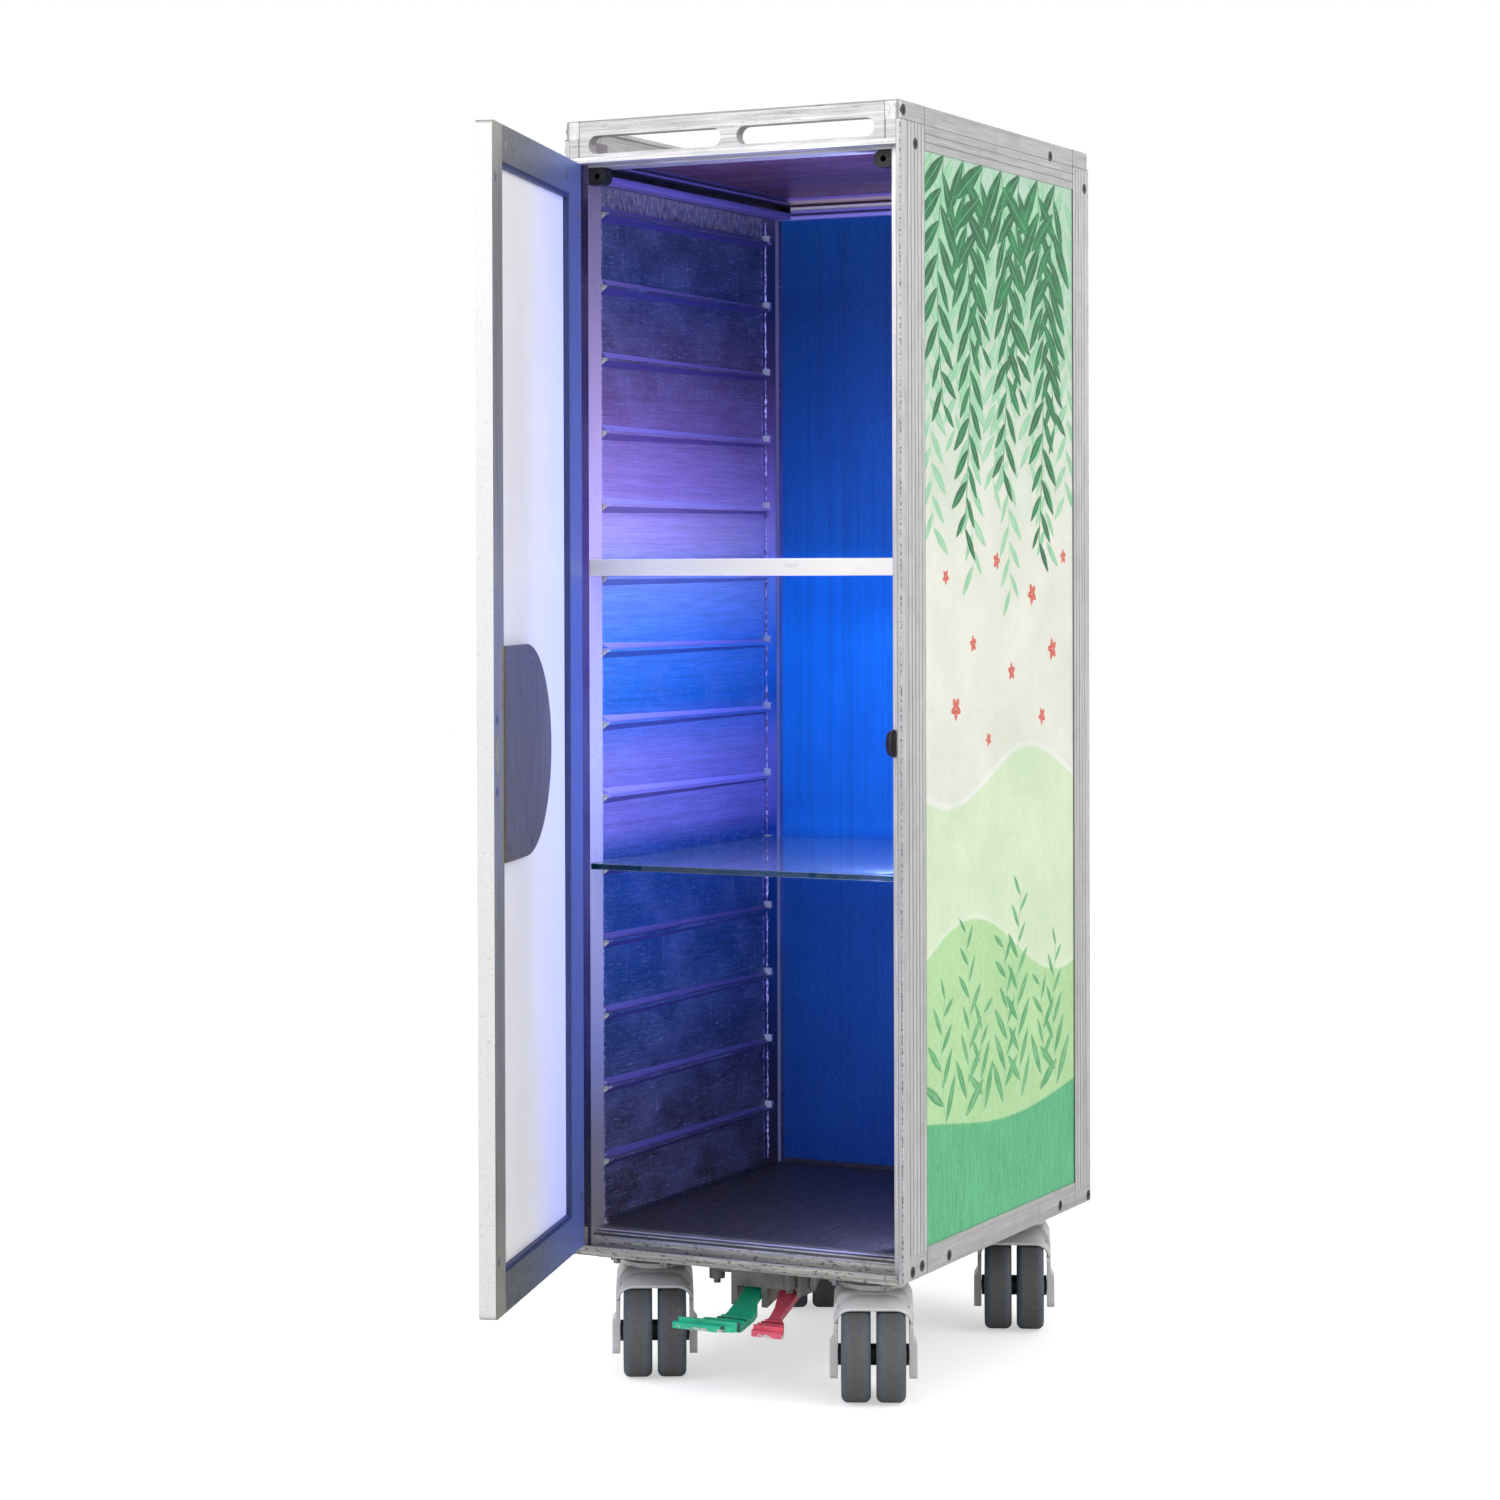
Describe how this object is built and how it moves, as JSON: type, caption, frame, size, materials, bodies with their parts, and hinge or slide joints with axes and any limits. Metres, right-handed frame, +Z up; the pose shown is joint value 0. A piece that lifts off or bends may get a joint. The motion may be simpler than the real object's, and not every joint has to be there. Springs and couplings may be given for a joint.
{
  "type": "bar trolley",
  "caption": "Narrow metal bar trolley with a side hung glazed door, shelves on wall runners, a railed top with oval grips, twin wheel casters and brake pedals.",
  "frame": {"origin": "on the floor, under the middle of the cabinet", "axes": "+X to the right seen from the door, +Y from the door to the back, +Z up"},
  "size_m": [0.3058, 0.6901, 1.03],
  "materials": {
    "frame_aluminium": "worn brushed extrusion",
    "sheet_aluminium": "mill finish sheet, scratched",
    "print_panel": "printed laminate, satin",
    "trim_aluminium": "anodised, satin",
    "black_plastic": "moulded, matt",
    "light_strip": "lit diffuser",
    "screw_steel": "zinc plated, worn",
    "base_metal": "grey paint, worn",
    "cast_housing": "rough cast",
    "door_aluminium": "satin anodised",
    "latch_steel": "bright",
    "frosted_pane": "frosted",
    "white_board": "white, satin",
    "shelf_glass": "clear, polished edges",
    "green_paint": "green enamel, worn edges",
    "red_paint": "red enamel, worn edges",
    "fork_plastic": "grey moulding, satin",
    "tyre_rubber": "grey non-marking rubber, worn"
  },
  "bodies": {
    "cabinet": {"back_panel": "sheet_aluminium", "base_plate": "base_metal", "bottom_side_rails": "frame_aluminium", "brake_housing": "cast_housing", "caster_bolts": "screw_steel", "caster_plates": "base_metal", "ceiling_rails": "trim_aluminium", "corner_blocks": "frame_aluminium", "corner_caps": "frame_aluminium", "door_header": "frame_aluminium", "door_sill": "frame_aluminium", "floor_panel": "sheet_aluminium", "frame_screws": "screw_steel", "front_handle_bar": "frame_aluminium", "front_post_left": "frame_aluminium", "front_post_right": "frame_aluminium", "hinge_leaf_cabinet": "door_aluminium", "hinge_pin": "screw_steel", "led_strip": "light_strip", "light_rail_ends": "black_plastic", "pedal_shaft": "screw_steel", "rear_handle_bar": "frame_aluminium", "rear_post_left": "frame_aluminium", "rear_post_right": "frame_aluminium", "rear_sill": "frame_aluminium", "runner_panel_left": "sheet_aluminium", "runner_panel_right": "sheet_aluminium", "side_panel_left": "print_panel", "side_panel_right": "print_panel", "striker_stud": "black_plastic", "top_deck": "sheet_aluminium", "top_side_rails": "frame_aluminium"},
    "door": {"door_hinge_stile": "door_aluminium", "door_latch_stile": "door_aluminium", "door_rails": "door_aluminium", "door_screws": "screw_steel", "window_pane": "frosted_pane", "window_beads": "door_aluminium", "latch_cover": "door_aluminium", "latch_case": "door_aluminium", "hinge_leaf_door": "door_aluminium"},
    "latch_paddle": {"latch_paddle": "door_aluminium"},
    "latch_bolt": {"latch_bolt": "latch_steel"},
    "white_shelf": {"white_shelf": "white_board"},
    "glass_shelf": {"glass_shelf": "shelf_glass"},
    "green_pedal": {"green_pedal": "green_paint"},
    "red_pedal": {"red_pedal": "red_paint"},
    "fork_front_left": {"caster_fork_front_left": "fork_plastic"},
    "wheels_front_left": {"caster_hub_front_left": "black_plastic", "caster_tyres_front_left": "tyre_rubber"},
    "fork_front_right": {"caster_fork_front_right": "fork_plastic"},
    "wheels_front_right": {"caster_hub_front_right": "black_plastic", "caster_tyres_front_right": "tyre_rubber"},
    "fork_rear_right": {"caster_fork_rear_right": "fork_plastic"},
    "wheels_rear_right": {"caster_hub_rear_right": "black_plastic", "caster_tyres_rear_right": "tyre_rubber"},
    "fork_rear_left": {"caster_fork_rear_left": "fork_plastic"},
    "wheels_rear_left": {"caster_hub_rear_left": "black_plastic", "caster_tyres_rear_left": "tyre_rubber"}
  },
  "joints": [
    {"name": "door_hinge", "type": "hinge", "parent": "cabinet", "child": "door", "pos_m": [-0.1505, -0.204, 0.55], "axis": [0, 0, 1], "range_deg": [-194, 73.35]},
    {"name": "latch_paddle", "type": "hinge", "parent": "door", "child": "latch_paddle", "pos_m": [-0.07565, -0.43682, 0.524], "axis": [0, 0, 1], "range_deg": [0, 35], "stiffness_Nm_per_rad": 0.3},
    {"name": "latch_bolt", "type": "slide", "parent": "door", "child": "latch_bolt", "axis": [-0.2865, 0.9581, 0], "range_m": [0, 0.005]},
    {"name": "white_shelf_slide", "type": "slide", "parent": "cabinet", "child": "white_shelf", "axis": [0, 1, 0], "range_m": [-0.016, 0]},
    {"name": "glass_shelf_slide", "type": "slide", "parent": "cabinet", "child": "glass_shelf", "axis": [0, 1, 0], "range_m": [-0.016, 0]},
    {"name": "red_pedal", "type": "hinge", "parent": "cabinet", "child": "red_pedal", "pos_m": [0, -0.138, 0.08], "axis": [1, 0, 0], "range_deg": [-8, 8]},
    {"name": "green_pedal", "type": "hinge", "parent": "cabinet", "child": "green_pedal", "pos_m": [0, -0.138, 0.08], "axis": [1, 0, 0], "range_deg": [-8, 8]},
    {"name": "swivel_front_left", "type": "hinge", "parent": "cabinet", "child": "fork_front_left", "pos_m": [-0.1, -0.148, 0.088], "axis": [0, 0, 1], "continuous": true},
    {"name": "roll_front_left", "type": "hinge", "parent": "fork_front_left", "child": "wheels_front_left", "pos_m": [-0.08288, -0.17967, 0.0375], "axis": [0.8796, 0.4756, 0], "continuous": true},
    {"name": "swivel_front_right", "type": "hinge", "parent": "cabinet", "child": "fork_front_right", "pos_m": [0.1, -0.148, 0.088], "axis": [0, 0, 1], "continuous": true},
    {"name": "roll_front_right", "type": "hinge", "parent": "fork_front_right", "child": "wheels_front_right", "pos_m": [0.1151, -0.18068, 0.0375], "axis": [0.9078, 0.4195, 0], "continuous": true},
    {"name": "swivel_rear_right", "type": "hinge", "parent": "cabinet", "child": "fork_rear_right", "pos_m": [0.1, 0.148, 0.088], "axis": [0, 0, 1], "continuous": true},
    {"name": "roll_rear_right", "type": "hinge", "parent": "fork_rear_right", "child": "wheels_rear_right", "pos_m": [0.11378, 0.11474, 0.0375], "axis": [0.9239, 0.3827, 0], "continuous": true},
    {"name": "swivel_rear_left", "type": "hinge", "parent": "cabinet", "child": "fork_rear_left", "pos_m": [-0.1, 0.148, 0.088], "axis": [0, 0, 1], "continuous": true},
    {"name": "roll_rear_left", "type": "hinge", "parent": "fork_rear_left", "child": "wheels_rear_left", "pos_m": [-0.08433, 0.11559, 0.0375], "axis": [0.9003, 0.4352, 0], "continuous": true}
  ],
  "couplings": [
    {"joint": "latch_bolt", "follows": "latch_paddle", "m_per_rad": 0.00818},
    {"joint": "green_pedal", "follows": "red_pedal", "ratio": -1}
  ]
}
